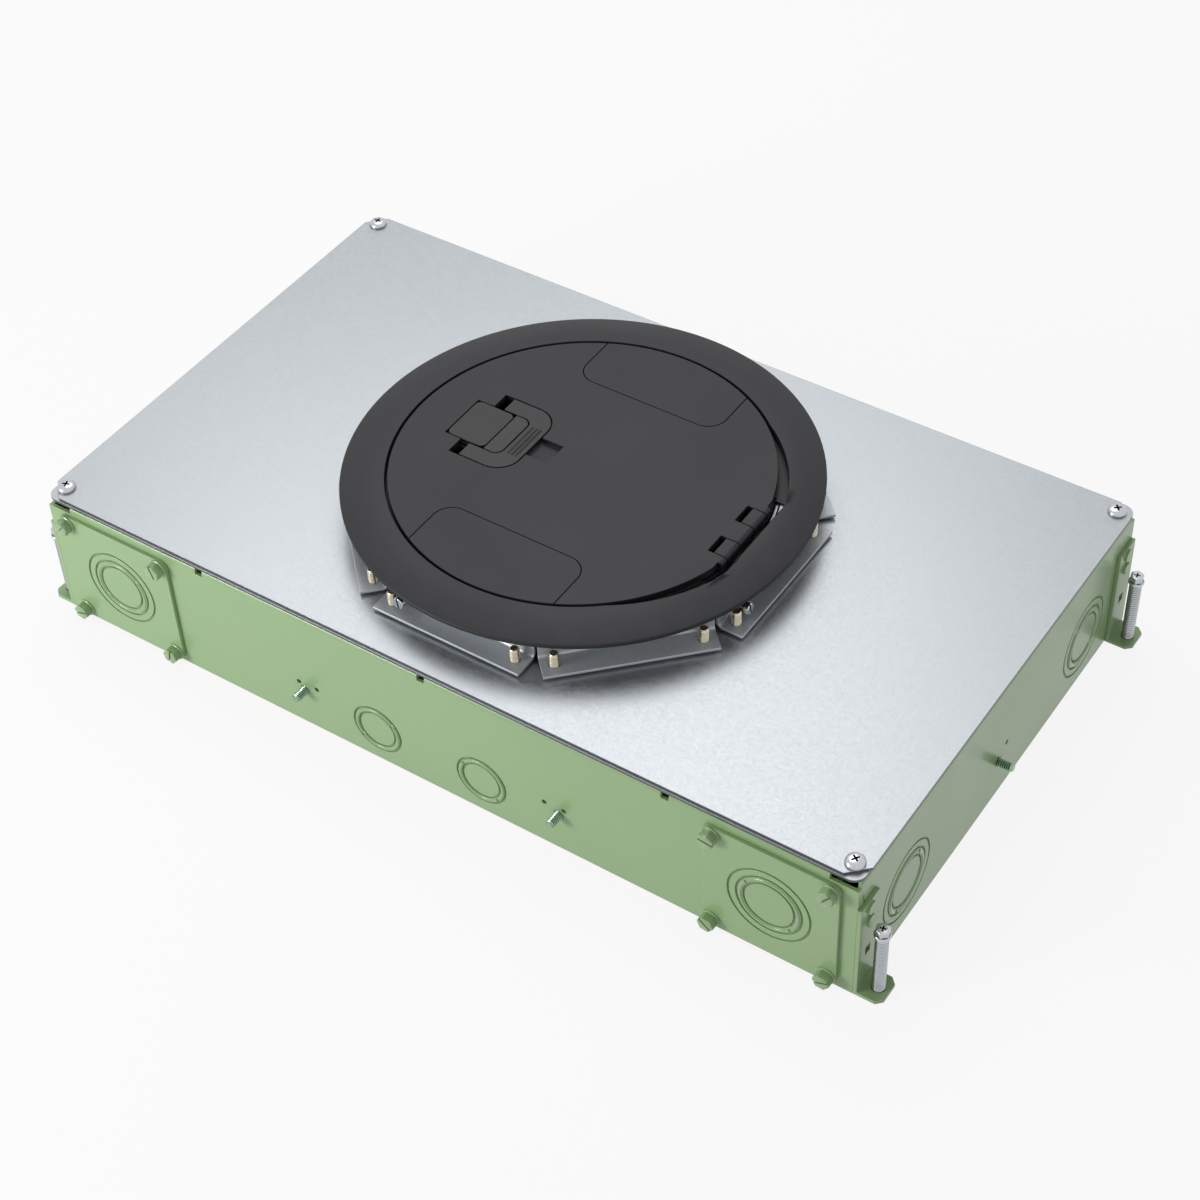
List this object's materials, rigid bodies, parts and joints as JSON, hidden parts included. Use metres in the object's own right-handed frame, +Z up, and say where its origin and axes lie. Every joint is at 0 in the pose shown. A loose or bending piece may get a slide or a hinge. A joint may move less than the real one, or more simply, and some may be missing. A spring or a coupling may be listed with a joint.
{
  "type": "floor socket box",
  "caption": "Steel floor socket box with knockouts, flat cover plates, levelling feet and a round hinged lid on an octagonal levelling collar.",
  "frame": {"origin": "middle of the box's underside", "axes": "+X along the box towards the lid's hinge, +Y across the box, +Z up"},
  "size_m": [0.4832, 0.284, 0.0994],
  "materials": {
    "green_paint": "satin",
    "galvanised": "galvanised, fine spangle",
    "zinc_sheet": "galvanised",
    "zinc_screws": "bright zinc plate",
    "set_screw_metal": "zinc plate, slightly yellow",
    "black_cover": "matt powder coat",
    "gasket_rubber": "matt",
    "receptacle_plastic": "satin",
    "plate_plastic": "satin",
    "jack_plastic": "satin"
  },
  "bodies": {
    "box": {"box_body": "green_paint", "bracket_rivets": "green_paint", "cover_screws": "zinc_screws", "data_device_bracket": "zinc_sheet", "data_jacks": "jack_plastic", "data_plate": "plate_plastic", "device_screws": "zinc_screws", "divider": "zinc_sheet", "front_left_knockout_plate": "green_paint", "front_left_levelling_bracket": "green_paint", "front_right_knockout_plate": "green_paint", "front_right_levelling_bracket": "green_paint", "ground_screws": "green_paint", "knockout_plate_screws": "green_paint", "left_duplex_receptacle": "receptacle_plastic", "levelling_set_screws": "set_screw_metal", "lower_cover_plate": "galvanised", "power_device_bracket": "zinc_sheet", "rear_left_knockout_plate": "green_paint", "rear_left_levelling_bracket": "green_paint", "rear_right_knockout_plate": "green_paint", "rear_right_levelling_bracket": "green_paint", "right_duplex_receptacle": "receptacle_plastic", "riser_sleeve": "galvanised", "upper_cover_plate": "galvanised"},
    "cover_ring": {"octagon_collar": "galvanised", "collar_clamp_screws": "zinc_screws", "flange_fixing_screws": "zinc_screws", "trim_flange": "black_cover", "lid_gasket": "gasket_rubber", "lid_hinge_pin": "zinc_screws"},
    "lid": {"lid": "black_cover", "latch_cap": "black_cover", "latch_guide": "zinc_sheet", "latch_guide_screws": "zinc_screws", "door_pins": "zinc_screws"},
    "front_door": {"front_cable_door": "black_cover"},
    "rear_door": {"rear_cable_door": "black_cover"},
    "bail": {"pull_bail": "black_cover"},
    "bolt": {"latch_bolt": "zinc_screws"},
    "front_left_jack": {"front_left_levelling_screw": "zinc_screws"},
    "front_right_jack": {"front_right_levelling_screw": "zinc_screws"},
    "rear_left_jack": {"rear_left_levelling_screw": "zinc_screws"},
    "rear_right_jack": {"rear_right_levelling_screw": "zinc_screws"}
  },
  "joints": [
    {"name": "cover_levelling", "type": "slide", "parent": "box", "child": "cover_ring", "axis": [0, 0, 1], "range_m": [0, 0.005]},
    {"name": "lid_hinge", "type": "hinge", "parent": "cover_ring", "child": "lid", "pos_m": [0.0894, 0, 0.0968], "axis": [0, 1, 0], "range_deg": [0, 95]},
    {"name": "front_door_hinge", "type": "hinge", "parent": "lid", "child": "front_door", "pos_m": [0, -0.0647, 0.0974], "axis": [-1, 0, 0], "range_deg": [0, 95]},
    {"name": "rear_door_hinge", "type": "hinge", "parent": "lid", "child": "rear_door", "pos_m": [0, 0.0647, 0.0974], "axis": [1, 0, 0], "range_deg": [0, 95]},
    {"name": "bail_pivot", "type": "hinge", "parent": "lid", "child": "bail", "pos_m": [-0.0534, 0, 0.0983], "axis": [0, -1, 0], "range_deg": [0, 95]},
    {"name": "bolt_slide", "type": "slide", "parent": "lid", "child": "bolt", "axis": [-1, 0, 0], "range_m": [0, 0.004]},
    {"name": "front_left_jack_screw", "type": "slide", "parent": "box", "child": "front_left_jack", "axis": [0, 0, -1], "range_m": [0, 0.035]},
    {"name": "front_right_jack_screw", "type": "slide", "parent": "box", "child": "front_right_jack", "axis": [0, 0, -1], "range_m": [0, 0.035]},
    {"name": "rear_left_jack_screw", "type": "slide", "parent": "box", "child": "rear_left_jack", "axis": [0, 0, -1], "range_m": [0, 0.035]},
    {"name": "rear_right_jack_screw", "type": "slide", "parent": "box", "child": "rear_right_jack", "axis": [0, 0, -1], "range_m": [0, 0.035]}
  ]
}
